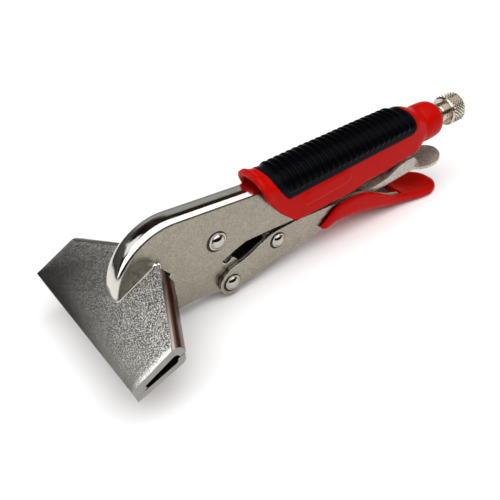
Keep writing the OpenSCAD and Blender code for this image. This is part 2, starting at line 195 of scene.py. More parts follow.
class Mat:
    """A small builder for node materials. Coordinates are object metres times 1000, so scales are per millimetre."""

    def __init__(self, name):
        self.m = bpy.data.materials.new(name)
        self.m.use_nodes = True
        self.nt = self.m.node_tree
        self.nt.nodes.clear()
        self.out = self.nt.nodes.new("ShaderNodeOutputMaterial")
        self.b = self.nt.nodes.new("ShaderNodeBsdfPrincipled")
        self.nt.links.new(self.b.outputs[0], self.out.inputs[0])
        tc = self.nt.nodes.new("ShaderNodeTexCoord")
        mp = self.nt.nodes.new("ShaderNodeMapping")
        mp.inputs["Scale"].default_value = (1000, 1000, 1000)
        self.nt.links.new(tc.outputs["Object"], mp.inputs[0])
        self.co = mp.outputs[0]

    def node(self, kind, **inputs):
        n = self.nt.nodes.new(kind)
        for k, v in inputs.items():
            n.inputs[k.replace("_", " ")].default_value = v
        return n

    def link(self, a, b):
        self.nt.links.new(a, b)

    def noise(self, scale, detail=2.0, rough=0.5, co=None, stretch=None):
        n = self.node("ShaderNodeTexNoise", Scale=scale, Detail=detail, Roughness=rough)
        src = co or self.co
        if stretch:
            mp = self.nt.nodes.new("ShaderNodeMapping")
            mp.inputs["Scale"].default_value = stretch
            self.link(src, mp.inputs[0])
            src = mp.outputs[0]
        self.link(src, n.inputs["Vector"])
        return n.outputs["Fac"]

    def ramp(self, fac, stops):
        r = self.nt.nodes.new("ShaderNodeValToRGB")
        el = r.color_ramp.elements
        while len(el) > len(stops):
            el.remove(el[-1])
        while len(el) < len(stops):
            el.new(0.5)
        for e, (p, c) in zip(el, stops):
            e.position = p
            e.color = tuple(c) + (1,) if len(c) == 3 else c
        self.link(fac, r.inputs[0])
        return r.outputs[0]

    def mapr(self, fac, a, b, lo=0.0, hi=1.0):
        n = self.node("ShaderNodeMapRange", From_Min=lo, From_Max=hi, To_Min=a, To_Max=b)
        self.link(fac, n.inputs["Value"])
        return n.outputs[0]

    def math(self, op, a, b=None):
        n = self.nt.nodes.new("ShaderNodeMath")
        n.operation = op
        for i, v in enumerate((a, b)):
            if v is None:
                continue
            if isinstance(v, (int, float)):
                n.inputs[i].default_value = v
            else:
                self.link(v, n.inputs[i])
        return n.outputs[0]

    def mix(self, fac, a, b):
        n = self.nt.nodes.new("ShaderNodeMix")
        n.data_type = "RGBA"
        self.link(fac, n.inputs[0]) if not isinstance(fac, (int, float)) else setattr(n.inputs[0], "default_value", fac)
        for sock, v in ((n.inputs[6], a), (n.inputs[7], b)):
            if isinstance(v, tuple):
                sock.default_value = v + (1,)
            else:
                self.link(v, sock)
        return n.outputs[2]

    def attr(self, name):
        n = self.nt.nodes.new("ShaderNodeAttribute")
        n.attribute_name = name
        return n.outputs["Fac"]

    def bump(self, *layers):
        """layers: (height, distance mm, strength), stacked."""
        last = None
        for h, dist, strength in layers:
            n = self.node("ShaderNodeBump", Strength=strength, Distance=dist / 1000)
            self.link(h, n.inputs["Height"])
            if last is not None:
                self.link(last, n.inputs["Normal"])
            last = n.outputs[0]
        self.link(last, self.b.inputs["Normal"])

    def set(self, **kw):
        for k, v in kw.items():
            self.b.inputs[k.replace("_", " ")].default_value = v


def metal(name, dark, light, rough, spread, grain, grain_amp, fine=9.0, fine_amp=0.004, mottle=0.25, polish_and_highlight=None, speck=0.0):
    t = Mat(name)
    big = t.noise(mottle, 3.0, 0.6)
    mid = t.noise(grain, 2.0, 0.55)
    sm = t.noise(fine, 2.0, 0.6)
    col = t.ramp(big, [(0.3, dark), (0.7, light)])
    spots = t.ramp(t.noise(1.6, 4.0, 0.7), [(0.0, (0, 0, 0)), (0.70, (0, 0, 0)), (0.78, (1, 1, 1))])
    col = t.mix(t.mapr(spots, 0.0, 0.22), col, tuple(c * 0.45 for c in dark))
    if speck:
        sp = t.noise(grain * 0.85, 3.0, 0.7)
        col = t.mix(t.mapr(sp, 0.0, speck, 0.45, 0.68), col, tuple(c * 0.35 for c in dark))
        col = t.mix(t.mapr(sp, speck * 0.8, 0.0, 0.30, 0.50), col, tuple(min(1, c * 1.5) for c in light))
    r = t.math("ADD", t.mapr(mid, rough - spread, rough + spread, 0.25, 0.75), t.mapr(big, -spread * 0.6, spread * 0.6, 0.3, 0.7))
    if polish_and_highlight is not None:
        r = t.math("SUBTRACT", r, t.math("MULTIPLY", t.attr("polish_and_highlight"), polish_and_highlight))
        # On the channel's crown the base colour is lightened: a painted highlight that makes the rim's reflection
        # whiter. The lower roughness there is real polish.
        col = t.mix(t.math("MULTIPLY", t.attr("polish_and_highlight"), 0.85), col, (0.66, 0.645, 0.60))
        # Darker base colour where the edge attribute is set: a painted shade line on the channel, and darker knurl
        # grooves on the knob.
        col = t.mix(t.math("MULTIPLY", t.attr("edge"), 0.85), col, (0.05, 0.04, 0.032))
    t.link(col, t.b.inputs["Base Color"])
    t.link(t.math("MAXIMUM", r, 0.04), t.b.inputs["Roughness"])
    t.set(Metallic=1.0)
    t.bump((mid, grain_amp, 1.0), (sm, fine_amp, 1.0))
    return t.m


NI_D, NI_L = (0.285, 0.262, 0.213), (0.33, 0.305, 0.252)
M_body = metal("nickel_plate", NI_D, NI_L, 0.30, 0.05, 1.9, 0.010, polish_and_highlight=0.20, speck=0.35)
M_sheet = metal("nickel_sheet", NI_D, NI_L, 0.28, 0.05, 2.1, 0.010, speck=0.35)
def blade_metal():
    t = Mat("blasted_nickel")
    g = t.attr("grain")
    dark_reflection_mask = t.attr("flange")
    big = t.noise(0.10, 3.0, 0.6)
    cell = t.noise(2.3, 2.0, 0.60)
    fine = t.noise(4.5, 2.0, 0.6)
    sp = t.nt.nodes.new("ShaderNodeSeparateXYZ")
    t.link(t.co, sp.inputs[0])
    past = t.math("MAXIMUM", t.math("SUBTRACT", t.math("ABSOLUTE", sp.outputs["Y"]), 36.8), 0.0)
    roll = t.math("MULTIPLY", t.math("MULTIPLY", past, past), -0.105)
    col = t.ramp(big, [(0.3, (0.235, 0.228, 0.208)), (0.7, (0.30, 0.293, 0.272))])
    pits = t.math("MULTIPLY", t.mapr(cell, 1.0, 0.0, 0.44, 0.505), g)
    col = t.mix(pits, col, (0.035, 0.032, 0.028))
    tips = t.math("MULTIPLY", t.mapr(cell, 0.0, 1.0, 0.515, 0.59), g)
    col = t.mix(tips, col, (0.95, 0.94, 0.90))
    # painted reflection: the back bend and flange get a dark rust-brown base colour that stands for the dark
    # surroundings they reflect
    col = t.mix(t.math("MULTIPLY", dark_reflection_mask, 0.92), col, (0.085, 0.042, 0.026))
    # painted highlight: the top face's base colour lightens over the last mm before each blade end, alongside the
    # roll-off bump there
    col = t.mix(t.math("MULTIPLY", t.mapr(past, 0.0, 0.75, 0.6, 2.4), g), col, (0.86, 0.855, 0.82))
    t.link(col, t.b.inputs["Base Color"])
    r = t.math("ADD", t.mapr(g, 0.20, 0.33), t.mapr(fine, -0.05, 0.06, 0.3, 0.7))
    t.link(r, t.b.inputs["Roughness"])
    t.set(Metallic=1.0)
    amp = t.math("MULTIPLY", cell, t.mapr(g, 0.06, 1.0))
    t.bump((amp, 0.34, 1.0), (fine, 0.02, 1.0), (t.math("MULTIPLY", roll, g), 1.0, 1.0))
    return t.m


M_blade = blade_metal()
M_rivet = metal("rivet_nickel", (0.42, 0.405, 0.36), (0.52, 0.50, 0.455), 0.06, 0.03, 1.2, 0.004)
M_lever = metal("lever_nickel", (0.40, 0.38, 0.33), (0.48, 0.455, 0.40), 0.26, 0.06, 1.3, 0.010)
M_lever.node_tree.nodes["Principled BSDF"].inputs["Metallic"].default_value = 0.55
M_weld = metal("weld_nickel", (0.5, 0.47, 0.42), (0.62, 0.59, 0.53), 0.24, 0.06, 1.3, 0.05)
# Bevel faces on all nickel parts: a lighter base colour, partly real edge wear and partly a painted highlight that
# makes the edge lines read bright.
M_edge_wear_highlight = metal("nickel_worn_edge_and_highlight", (0.56, 0.54, 0.50), (0.70, 0.68, 0.63), 0.20, 0.05, 1.6, 0.008)
# painted shadow: the dark ring round the rivet heads
M_rivet_shadow = metal("rivet_painted_shadow", (0.030, 0.024, 0.018), (0.06, 0.05, 0.04), 0.42, 0.06, 2.0, 0.01)
M_screw = metal("screw_nickel", (0.30, 0.27, 0.225), (0.44, 0.40, 0.34), 0.26, 0.05, 1.5, 0.006)
M_knob = metal("knurled_nickel", (0.46, 0.42, 0.345), (0.62, 0.575, 0.49), 0.20, 0.06, 2.2, 0.008, polish_and_highlight=0.0, speck=0.2)
M_spring = metal("spring_wire_steel", (0.62, 0.60, 0.56), (0.75, 0.73, 0.69), 0.22, 0.05, 3.0, 0.004)


def red_plastic():
    t = Mat("red_plastic")
    big = t.noise(0.06, 3.0, 0.6)
    col = t.ramp(big, [(0.3, (0.42, 0.0016, 0.0006)), (0.7, (0.47, 0.0030, 0.0010))])
    dust = t.ramp(t.noise(0.9, 5.0, 0.75), [(0.0, (0, 0, 0)), (0.66, (0, 0, 0)), (0.8, (1, 1, 1))])
    col = t.mix(t.mapr(dust, 0.0, 0.06), col, (0.60, 0.03, 0.02))
    t.link(col, t.b.inputs["Base Color"])
    t.link(t.math("ADD", t.mapr(t.noise(0.35, 4.0, 0.6), 0.30, 0.44, 0.3, 0.7), t.mapr(dust, 0.0, 0.08)), t.b.inputs["Roughness"])
    t.set(Specular_IOR_Level=0.055)
    t.bump((t.noise(0.22, 2.0, 0.5), 0.10, 0.6), (t.noise(3.0, 3.0, 0.6), 0.010, 1.0))
    return t.m


def black_rubber():
    t = Mat("black_rubber")
    col = t.ramp(t.noise(0.25, 4.0, 0.6), [(0.3, (0.0004, 0.0006, 0.0012)), (0.7, (0.0008, 0.0012, 0.0024))])
    band = t.attr("band")
    col = t.mix(band, col, (0.0024, 0.0041, 0.0073))
    t.link(col, t.b.inputs["Base Color"])
    t.link(t.mapr(t.noise(1.1, 4.0, 0.65), 0.24, 0.40, 0.3, 0.7), t.b.inputs["Roughness"])
    t.set(Specular_IOR_Level=0.035)
    t.bump((t.noise(0.5, 2.0, 0.5), 0.05, 0.6), (t.noise(4.5, 3.0, 0.6), 0.012, 1.0))
    return t.m


M_red = red_plastic()
M_black = black_rubber()


def finish_piece(ob, mat, body, slot, *nodes, edge=None):
    me = ob.data
    idx = np.zeros(len(me.polygons), dtype=np.int32)
    me.polygons.foreach_get("material_index", idx)
    me.materials.clear()
    me.materials.append(mat)
    if edge is not None and idx.max() == 1:
        me.materials.append(edge)
        me.polygons.foreach_set("material_index", idx)
    else:
        me.polygons.foreach_set("material_index", np.zeros(len(me.polygons), dtype=np.int32))
    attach(ob, body)
    if nodes:
        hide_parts(*nodes)
    return ob


# ---- the drawing's own shapes ----------------------------------------------

HC, HR = (-20.0, -8.1), 27.3
HW, TH = 5.3, 1.9
UP_TILT, LOW_TILT = 25.6, 17.7


def up_z(x):
    return -12.5 + (x + 61) * math.tan(math.radians(UP_TILT))


def low_z(x):
    return -19.14 + (x + 59.49) * math.tan(math.radians(LOW_TILT))


def crown_path():
    """Top of the channel in side view: points and inward normals, from the nose's foot to the rear."""
    pts = []
    a0 = 176.0
    for k in range(73):
        a = math.radians(a0 + (83.0 - a0) * k / 72)
        pts.append((HC[0] + HR * math.cos(a), HC[1] + HR * math.sin(a)))
    x0, z0 = pts[-1]
    t7 = math.tan(math.radians(7))
    x1 = 19.5
    for k in range(1, 21):
        x = x0 + (x1 - 1.6 - x0) * k / 20
        pts.append((x, z0 - (x - x0) * t7))
    zl = pts[-1][1] - 0.06
    pts.append((x1, zl - 0.03))
    for x in (22, 30, 50, 80, 106):
        pts.append((x, zl - 0.05))
    pts = np.array(pts)
    tan = np.gradient(pts, axis=0)
    tan /= np.linalg.norm(tan, axis=1)[:, None]
    nrm = np.stack([tan[:, 1], -tan[:, 0]], 1)
    return pts, nrm


def upper_body():
    pts, nrm = crown_path()
    n = len(pts)
    top_h, corner = 2.3, 4.3
    prof = []
    for k in range(11):
        ph = math.radians(90 - 9 * k)
        prof.append((-(HW - corner) - corner * math.sin(ph), top_h * (1 - math.cos(ph))))
    prof = prof + [(-y, d) for y, d in prof[::-1]]
    inner = [(-(HW - TH), TH + 1.6), (-(HW - TH) + 0.5, TH + 0.5), (-(HW - TH) + 1.6, TH)]
    inner = inner + [(-y, d) for y, d in inner[::-1]]
    verts, faces = [], []

    def add(x, y, z):
        verts.append((x, y, z))
        return len(verts) - 1

    outer = [[add(p[0] + d * q[0], y, p[1] + d * q[1]) for y, d in prof] for p, q in zip(pts, nrm)]
    inn = [[add(p[0] + d * q[0], y, p[1] + d * q[1]) for y, d in inner] for p, q in zip(pts, nrm)]
    for i in range(n - 1):
        for j in range(len(prof) - 1):
            faces.append((outer[i][j], outer[i][j + 1], outer[i + 1][j + 1], outer[i + 1][j]))
        for j in range(len(inner) - 1):
            faces.append((inn[i][j], inn[i + 1][j], inn[i + 1][j + 1], inn[i][j + 1]))
    low = [(106, -2.4), (45, -5.4), (42, -8), (39.5, -9), (34, -8.6), (27, -8), (20.7, -7.6), (13.9, -7.3), (10.3, -8.2),
           (5.1, -9.9), (0.9, -11.6), (-4.3, -13.6), (-6.3, -14.45), (-7.9, -14.8), (-10.2, -14.7), (-12.7, -14), (-15, -12.9), (-17.1, -11.1),
           (-20.9, -5.9), (-23.9, -2.6), (-25.4, -0.7), (-27.3, up_z(-27.3) - 0.05), (-36, up_z(-36) - 0.05), (-44, up_z(-44) - 0.05)]
    ends = []
    for s in (-1, 1):
        oj = 0 if s < 0 else len(prof) - 1
        ij = 0 if s < 0 else len(inner) - 1
        lo = [add(x, s * HW, z) for x, z in low]
        li = [add(x, s * (HW - TH), z) for x, z in low]
        face_o = [outer[i][oj] for i in range(n)] + lo
        face_i = [inn[i][ij] for i in range(n)] + li
        faces.append(face_o if s < 0 else face_o[::-1])
        faces.append(face_i if s > 0 else face_i[::-1])
        for k in range(len(low) - 1):
            faces.append((lo[k], li[k], li[k + 1], lo[k + 1]) if s > 0 else (lo[k + 1], li[k + 1], li[k], lo[k]))
        ends.append((outer[-1][oj], lo[0], li[0], inn[-1][ij]))
        ends.append((outer[0][oj], lo[-1], li[-1], inn[0][ij]))
    faces += ends
    # end caps of the crown
    for i in (0, n - 1):
        ring = outer[i] + inn[i][::-1]
        faces.append(ring if i else ring[::-1])
    ob = mesh_obj("channel_body", verts, faces, 50)
    for _ in range(2):
        ob.data.materials.append(None)
    bevel(ob, 0.45, 3, 55, 1)
    apply_mods(ob)
    shade(ob, 40)
    # crown mask: real polish (lower roughness) and a painted highlight (lighter base colour)
    ob.data.attributes.new("polish_and_highlight", "FLOAT", "POINT")
    co = np.array([v.co for v in ob.data.vertices])
    pol = np.where(np.abs(co[:, 1]) < (HW - 0.35) / 1000, 1.0, 0.0)
    ob.data.attributes["polish_and_highlight"].data.foreach_set("value", pol.astype(np.float32))
    # painted shade: a dark line along the walls' lower edges, where shade falls below the lip. The width test is below
    # zero, so as it stands no vertex gets it
    line = np.array([[(x + DX) / 1000, (z + DZ) / 1000] for x, z in low])
    q = co[:, [0, 2]]
    best = np.full(len(q), 1.0)
    for a, b in zip(line[:-1], line[1:]):
        ab = b - a
        t = np.clip(((q - a) @ ab) / (ab @ ab), 0, 1)
        best = np.minimum(best, np.linalg.norm(q - (a + t[:, None] * ab), axis=1))
    edge = np.where((best < 0.0) & (np.abs(co[:, 1]) < (HW - 0.02) / 1000), 1.0, 0.0)
    ob.data.attributes.new("edge", "FLOAT", "POINT")
    ob.data.attributes["edge"].data.foreach_set("value", edge.astype(np.float32))
    return finish_piece(ob, M_body, "upper_frame", "plated_body", "upper_body", edge=M_edge_wear_highlight)


upper_body()

# blades, jaw, handle, lever, link: the CAD's shapes with real edge breaks
def blade(name, node, body, tilt, sign):
    ob = rebuild(name, node, 0.4, 3, 28)
    me = ob.data
    up = Vector((-math.sin(math.radians(tilt)), 0, math.cos(math.radians(tilt)))) * sign
    gv, fl = np.zeros(len(me.vertices)), np.zeros(len(me.vertices))
    cnt = np.zeros(len(me.vertices))
    for p in me.polygons:
        n = p.normal
        g = 1.0 if n.dot(up) > 0.985 else 0.0
        # mask of the back bend and flange, which get a painted dark reflection in the blade's material
        f = 1.0 if (n.x > 0.03 and abs(n.y) < 0.93 and n.dot(up) < 0.985) else 0.0
        for v in p.vertices:
            gv[v] += g
            fl[v] += f
            cnt[v] += 1
    cnt[cnt == 0] = 1
    for key, val in (("grain", gv / cnt), ("flange", fl / cnt)):
        at = me.attributes.new(key, "FLOAT", "POINT")
        at.data.foreach_set("value", np.where(val > 0.4, 1.0, 0.0).astype(np.float32))
    return finish_piece(ob, M_blade, body, "blasted_blade", node, edge=M_edge_wear_highlight)


blade("blade_upper", "upper_blade", "upper_frame", UP_TILT, 1)
blade("blade_lower", "lower_blade", "lower_jaw", LOW_TILT, -1)
finish_piece(rebuild("jaw_body", "lower_jaw_body", 0.5, 3, 30), M_body, "lower_jaw", "plated_body", "lower_jaw_body", edge=M_edge_wear_highlight)
finish_piece(rebuild("handle_channel", "lower_handle", 0.5, 3, 40), M_sheet, "handle", "plated_sheet", "lower_handle", edge=M_edge_wear_highlight)
finish_piece(rebuild("lever", "release_lever", 0.35, 3, 40), M_lever, "lever", "plated_sheet", "release_lever", edge=M_edge_wear_highlight)
finish_piece(rebuild("link_bar", "toggle_link", 0.5, 3, 30), M_sheet, "link", "plated_sheet", "toggle_link", edge=M_edge_wear_highlight)


def rivet(name, p, l, hr, hh, body, node, rings=True):
    def prof():
        e = hh * 0.26
        pr = [(l - 0.5, hr * 0.80), (l + 0.14, hr * 0.90), (l + 0.16, hr * 0.985), (l + 0.24, hr)]
        for k in range(1, 7):
            t = math.pi / 2 * k / 6
            pr.append((l + 0.24 + (e - 0.24) * math.sin(t), hr - 0.16 * hr * (1 - math.cos(t))))
        r1 = hr * 0.80
        pr += [(l + e - 0.02, hr * 0.84), (l + e - 0.09, hr * 0.82), (l + e - 0.03, r1)]
        cap = hh - e
        rs = (r1 * r1 + cap * cap) / (2 * cap)
        for k in range(1, 19):
            q = r1 * (1 - k / 18)
            pr.append((l + e + math.sqrt(rs * rs - q * q) - (rs - cap), max(0.02, q)))
        return pr
    a = lathe(name + "_a", prof(), (p[0], 0, p[1]), (0, -1, 0))
    b = lathe(name + "_b", prof(), (p[0], 0, p[1]), (0, 1, 0))
    obs = [a, b]
    # painted shadow: a dark ring round each head, set off-centre towards -x and -z where the shadow falls
    shadow_rings = [lathe(name + "_s%d" % k, [(l - 0.02, hr * 0.85), (l + 0.05, hr * 0.86), (l + 0.07, hr + 0.50), (l + 0.03, hr + 0.72), (l - 0.03, hr + 0.78)], (p[0] - 0.38, 0, p[1] - 0.05), (0, k, 0)) for k in (-1, 1)]
    if node == "main_pivot_rivet":
        obs.append(lathe(name + "_c", [(-l, 3.4), (l, 3.4)], (p[0], 0, p[1]), (0, 1, 0)))
    ob = join(obs, name)
    shade(ob, 40)
    shadow_ring = join(shadow_rings, name + "_shadow_ring")
    shade(shadow_ring, 40)
    finish_piece(shadow_ring, M_rivet_shadow, body, "rivet")
    return finish_piece(ob, M_rivet, body, "rivet", node)


rivet("rivet_main", (0, 0), 5.3, 4.1, 2.25, "upper_frame", "main_pivot_rivet")
rivet("rivet_jaw", (5.2, -25.1), 5.37, 3.6, 1.85, "handle", "jaw_handle_rivet")
rivet("rivet_link", (30.1, -15.3), 5.37, 3.3, 1.75, "handle", "link_rivet")
rivet("rivet_lever", (76, -17.1), 5.37, 2.8, 0.6, "handle", "release_lever_rivet")

def blob(verts, faces, c, r, squash_z=1.0, seed=0):
    base = len(verts)
    nt_, np_ = 14, 20
    for i in range(nt_ + 1):
        th = math.pi * i / nt_
        for j in range(np_):
            ph = 2 * math.pi * j / np_
            k = 1 + 0.12 * math.sin(3 * ph + seed + 2 * th) * math.sin(th) + 0.07 * math.sin(5 * th + seed)
            verts.append((c[0] + r * k * math.sin(th) * math.cos(ph), c[1] + r * k * math.sin(th) * math.sin(ph), c[2] + r * k * squash_z * math.cos(th)))
    faces += grid_faces(nt_ + 1, np_, base, wrap=True)


def welds():
    verts, faces = [], []

    def tube(path, r):
        base = len(verts)
        m = 10
        for i, p in enumerate(path):
            q = Vector(path[min(i + 1, len(path) - 1)]) - Vector(path[max(i - 1, 0)])
            q.normalize()
            u = q.cross(Vector((0.43, 0, -0.9))).normalized()
            w = q.cross(u)
            rr = r * (1 + 0.10 * math.sin(i * 1.7) + 0.06 * math.sin(i * 3.1 + 1))
            for j in range(m):
                t = 2 * math.pi * j / m
                v = Vector(p) + u * math.cos(t) * rr + w * math.sin(t) * rr
                verts.append(tuple(v))
        faces.extend(grid_faces(len(path), m, base, wrap=True))
        faces.append(tuple(base + j for j in range(m)))
        faces.append(tuple(base + (len(path) - 1) * m + j for j in range(m)))

    path = []
    for k in range(46):
        x = -28.4 - 16.4 * k / 45
        path.append((x, -HW - 0.05, up_z(x) + 0.02))
    for k in range(1, 30):
        a = math.pi * k / 30
        x = -44.8 - 2.35 * math.sin(a) ** 0.8
        path.append((x, -(HW + 0.05) * math.cos(a), up_z(x) + 0.02))
    for k in range(46):
        x = -44.8 + 16.4 * k / 45
        path.append((x, HW + 0.05, up_z(x) + 0.02))
    tube(path, 0.34)
    for s in (-1, 1):
        blob(verts, faces, (-28.6, s * (HW + 0.1), up_z(-28.6) + 0.5), 1.15, 0.9, 1.3)
        blob(verts, faces, (-27.0, s * (HW + 0.25), up_z(-27.0) - 1.1), 1.0, 1.35, 2.9)
    ob = mesh_obj("weld_upper", verts, faces, 60)
    return finish_piece(ob, M_weld, "upper_frame", "weld", "upper_weld_beads")


welds()

for node, mat in (("spring_anchor_pin", M_rivet), ("threaded_bush", M_screw), ("lower_weld_beads", M_weld),
                  ("adjusting_screw", M_screw), ("knob_pin", M_rivet)):
    o = frame["nodes"][node]
    for i in range(len(o.data.materials)):
        o.material_slots[i].material = mat


# ---- tension spring: from the lower jaw's notch to the pin across the body -----

def spring():
    s1, s2 = Vector((5.4, 0, -14.55)), Vector((45.0, 0, 7.4))
    ax = (s2 - s1).normalized()
    up = Vector((0, 1, 0)).cross(ax).normalized()
    side = Vector((0, 1, 0))
    length = (s2 - s1).length
    rc, rw, turns, pitch, start = 2.0, 0.45, 24, 0.94, 12.5
    path = []

    def at(a, h, w):
        path.append(s1 + ax * a + up * h + side * w)

    # hook round the notch, straight leg, coils, leg, eye round the pin
    for k in range(15):
        t = math.radians(-60 + 240 * k / 14)
        at(-1.2 * math.cos(t), -1.2 * math.sin(t), 0)
    for k in range(1, 8):
        at(1.2 + (start - 2.2) * k / 8, -0.8 + 0.8 * min(1, k / 5), 0)
    for k in range(1, 6):
        t = k / 6
        at(start - 1.0 + t, rc * t, 0)
    for k in range(turns * 20 + 1):
        t = 2 * math.pi * k / 20
        at(start + pitch * k / 20, rc * math.cos(t), rc * math.sin(t))
    end = start + pitch * turns
    for k in range(1, 6):
        t = k / 6
        at(end + t, rc * (1 - t), 0)
    last = length - 2.35
    for k in range(1, 4):
        at(end + 1 + (last - end - 1) * k / 4, 0, 0)
    for k in range(23):
        t = math.radians(180 - 330 * k / 22)
        at(length + 2.35 * math.cos(t), 2.35 * math.sin(t), 0)
    m = 12
    verts = []
    ref = side
    for i, p in enumerate(path):
        q = (path[min(i + 1, len(path) - 1)] - path[max(i - 1, 0)]).normalized()
        ref = (ref - q * ref.dot(q)).normalized()
        w = q.cross(ref)
        for j in range(m):
            t = 2 * math.pi * j / m
            verts.append(tuple(p + (ref * math.cos(t) + w * math.sin(t)) * rw))
    faces = grid_faces(len(path), m, wrap=True)
    faces.append(tuple(range(m)))
    faces.append(tuple((len(path) - 1) * m + j for j in range(m)))
    ob = mesh_obj("spring_coil", verts, faces, 60)
    ob.data.materials.append(M_spring)
    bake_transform(ob, "upper_frame", "lower_jaw", row(s2), row(s1))
    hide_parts("tension_spring")


spring()


# ---- knob --------------------------------------------------------------------

AX = 4.35


def knob():
    n = 27 * 14
    xs, rs, kn = [], [], []

    def add(x, r, k=0.0):
        xs.append(x)
        rs.append(r)
        kn.append(k)

    R = 7.5
    for x, r in ((131.6, 2.75), (131.6, 4.3), (131.8, 4.55), (132.2, 4.65), (133.0, 4.65), (133.15, 4.4), (133.35, 4.4), (133.5, 4.65), (134.4, 4.65),
                 (134.55, 4.4), (134.75, 4.4), (134.9, 4.65), (135.7, 4.65), (135.95, 4.5), (136.0, 4.8), (136.0, 6.2), (136.06, 6.45)):
        add(x, r)
    add(136.45, 6.85)
    steps = 46
    x0, x1 = 136.7, 144.0
    for k in range(steps + 1):
        x = x0 + (x1 - x0) * k / steps
        fade = min(1, (x - x0) / 0.7, (x1 - x) / 0.7)
        r = R - 0.45 * (1 - min(1, (x - x0) / 0.7)) - 0.5 * (1 - min(1, (x1 - x) / 0.8))
        add(x, r, max(0.0, fade))
    for x, r in ((144.25, 6.5), (144.45, 5.9), (144.6, 5.4), (144.75, 3.5), (144.88, 1.5), (144.9, 0.02)):
        add(x, r)
    verts, groove_dark = [], []
    N = 27
    for x, r, k in zip(xs, rs, kn):
        for j in range(n):
            t = 2 * math.pi * j / n
            rr = r
            if k > 0:
                u = N * j / n
                w = (x - x0) / 1.75
                a = abs(((u + w) % 1) - 0.5) * 2
                b = abs(((u - w) % 1) - 0.5) * 2
                h = min(1.0, min(1 - a, 1 - b) * 1.5)
                rr = r - 0.85 * (1 - h) * k
                # the base colour goes darker in the knurl's grooves, in proportion to their depth
                groove_dark.append(0.9 * (1 - h) * k)
            else:
                groove_dark.append(0.0)
            verts.append((x, rr * math.cos(t), AX + rr * math.sin(t)))
    faces = grid_faces(len(xs), n, wrap=True)
    faces.append(tuple((len(xs) - 1) * n + j for j in range(n)))
    faces.append(tuple(range(n))[::-1])
    ob = mesh_obj("knob", verts, faces, 32)
    if len(ob.data.vertices) == len(groove_dark):
        ob.data.attributes.new("edge", "FLOAT", "POINT").data.foreach_set("value", np.array(groove_dark, dtype=np.float32))
    return finish_piece(ob, M_knob, "knob", "knob_steel", "adjusting_knob")


knob()


# ---- upper grip ------------------------------------------------------------

GH, GC = 9.5, 7.0


def lerp_table(tab):
    xs = [a for a, _ in tab]
    ys = [b for _, b in tab]
    return lambda x: float(np.interp(x, xs, ys))


grip_top = lerp_table([(14, 20.6), (19, 19.75), (21, 19.35), (24, 18.7), (27, 18.0), (30, 17.55), (34, 17.35), (50, 17.25), (66.6, 16.85), (84.2, 16.65), (100, 16.2), (108, 15.9),
                       (111, 15.6), (113, 15.1), (115, 14.6), (117, 14.3), (119, 14.2), (121.5, 14.0)])
grip_low = lerp_table([(20, -7.0), (56, -7.0), (70, -6.9), (73, -6.2), (76, -5.5), (80, -5.3), (89, -5.2), (98, -4.1), (105, -3.6), (111, -3.4), (115, -3.9), (118, -4.7), (122, -4.9)])
grip_hw = lerp_table([(14, 10.1), (20, 9.9), (26, 9.6), (32, 9.5), (104, 9.5), (109, 9.45), (112, 9.35), (114.5, 9.2), (116, 9.1), (118, 9.15), (122, 9.15)])
front_x = lerp_table([(-8, 41.6), (-7, 40.6), (-6.4, 38.8), (-3.5, 34.2), (1.5, 29.7), (6.2, 26.0), (11, 23.1), (14.5, 22.0), (17, 21.6), (21, 21.2)])


def section_point(x, s):
    """A point of the grip's section at x, by the distance s along it from the top's middle."""
    hw, zt = grip_hw(x), grip_top(x)
    sg = -1 if s < 0 else 1
    s = abs(s)
    flat = hw - GC
    quarter = GC * math.pi / 2
    if s < flat:
        y, z = s, zt
        nrm = (0, 1)
    elif s < flat + quarter:
        a = (s - flat) / GC
        y, z = flat + GC * math.sin(a), zt - GC + GC * math.cos(a)
        nrm = (math.sin(a), math.cos(a))
    else:
        y, z = hw, zt - GC - (s - flat - quarter)
        nrm = (1, 0)
    # a slight crown over the flat top
    if s < flat + 2:
        z += 0.12 * (1 - (s / (flat + 2)) ** 2)
    return sg * y, z, (sg * nrm[0], nrm[1])


def side_len(x):
    return (grip_hw(x) - GC) + GC * math.pi / 2 + (grip_top(x) - GC - grip_low(x)) - 1.5


collar = lerp_table([(104, 9.4), (112, 9.3), (114, 9.1), (115.4, 8.78), (116.3, 8.72), (117.3, 8.93), (118.4, 9.05), (122, 9.05)])
inlay_low = lerp_table([(20, 6.1), (33, 6.3), (36, 6.5), (104.6, 7.9), (108, 8.0)])
inlay_front = lerp_table([(5.5, 34.8), (6.5, 33.8), (8.2, 32.2), (11.4, 30.0), (15.4, 27.9), (17.4, 27.4), (20, 27.0)])
inlay_rear = lerp_table([(7.0, 104.0), (7.9, 105.0), (9.0, 107.0), (11.0, 108.2), (13.4, 108.4), (20, 108.4)])


def smoothstep(a, b, x):
    t = min(1.0, max(0.0, (x - a) / (b - a)))
    return t * t * (3 - 2 * t)


def pill(x, z):
    """Height of the raised thumb panel on the grip's sides."""
    cx0, cx1, cz, r = 44.2, 65.0, 2.9, 3.2
    cz = 2.2 + (x - 40) * 0.045
    dx = max(cx0 - x, 0, x - cx1)
    d = math.hypot(dx, z - cz) - r
    return 0.42 * (1 - smoothstep(-0.9, 0.5, d))


def in_inlay(x, z):
    """How far inside the inlay's outline a side point lies, in mm, negative outside."""
    return min(z - inlay_low(x), x - inlay_front(z), inlay_rear(z) - x)


